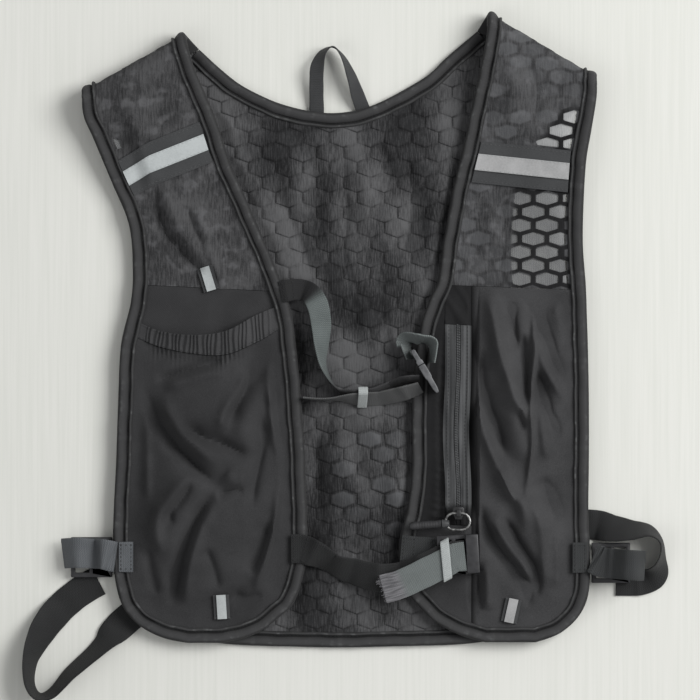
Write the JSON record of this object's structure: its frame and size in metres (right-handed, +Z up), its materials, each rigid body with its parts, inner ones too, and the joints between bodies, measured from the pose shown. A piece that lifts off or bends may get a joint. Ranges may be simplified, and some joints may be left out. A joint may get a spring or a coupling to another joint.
{
  "type": "running hydration vest",
  "caption": "Mesh running vest lying flat, with a stretch bottle pocket, a zip pocket, folded shoulders and fastened chest straps.",
  "frame": {"origin": "middle of the back panel's flat underside, on the surface that the vest lies on", "axes": "+Z up, out of the surface, +Y towards the collar, +X towards the wearer's left front, which lies on the right from above"},
  "size_m": [0.4515, 0.4807, 0.0305],
  "materials": {
    "mesh_cloth": "padded hexagon mesh",
    "binding_cloth": "matt folded tape",
    "pocket_cloth": "matt stretch cloth",
    "silver_tape": "reflective silver",
    "chest_webbing": "woven webbing",
    "dark_webbing": "woven webbing",
    "light_elastic": "woven elastic",
    "buckle_plastic": "moulded",
    "zip_plastic": "moulded",
    "grip_plastic": "soft moulded tube",
    "wire_metal": "dark wire"
  },
  "bodies": {
    "vest": {"back_panel": "mesh_cloth", "neck_binding": "binding_cloth", "back_binding": "binding_cloth", "left_shoulder_mesh": "mesh_cloth", "left_pocket_back": "pocket_cloth", "left_front_binding": "binding_cloth", "right_shoulder_mesh": "mesh_cloth", "right_pocket_back": "pocket_cloth", "right_front_binding": "binding_cloth", "left_shoulder_tape": "pocket_cloth", "left_shoulder_stripe": "silver_tape", "right_shoulder_tape": "pocket_cloth", "right_shoulder_stripe": "silver_tape", "left_shoulder_tab": "pocket_cloth", "left_shoulder_tab_stripe": "silver_tape", "left_pocket_tab": "pocket_cloth", "left_pocket_tab_stripe": "silver_tape", "right_pocket_tab": "pocket_cloth", "right_pocket_tab_stripe": "silver_tape", "left_bottle_pocket": "pocket_cloth", "left_pocket_band": "pocket_cloth", "right_zip_gusset": "pocket_cloth", "right_pocket": "pocket_cloth", "right_pocket_base": "pocket_cloth", "zip_cap": "pocket_cloth", "zip_tape_inner": "pocket_cloth", "zip_tape_outer": "pocket_cloth", "zip_teeth": "zip_plastic", "zip_slider": "zip_plastic", "upper_strap": "chest_webbing", "upper_tail": "chest_webbing", "upper_keeper": "light_elastic", "upper_buckle_plug": "buckle_plastic", "upper_buckle_socket": "buckle_plastic", "upper_anchor": "dark_webbing", "lower_buckle": "buckle_plastic", "lower_anchor": "dark_webbing", "lower_strap": "chest_webbing", "lower_tail": "chest_webbing", "lower_keeper": "light_elastic", "left_side_buckle": "buckle_plastic", "left_side_patch": "dark_webbing", "left_back_strap": "dark_webbing", "left_side_strap": "dark_webbing", "right_side_buckle": "buckle_plastic", "right_side_patch": "dark_webbing", "right_back_strap": "dark_webbing", "right_side_strap": "dark_webbing", "hanging_loop": "dark_webbing"},
    "zip_pull": {"pull_ring": "wire_metal", "pull_collar": "grip_plastic", "pull_grip": "grip_plastic"}
  },
  "joints": [
    {"name": "zip_pull_hinge", "type": "hinge", "parent": "vest", "child": "zip_pull", "pos_m": [0.08046, -0.128, 0.02159], "axis": [-1, 0, 0], "range_deg": [0, 150]}
  ]
}
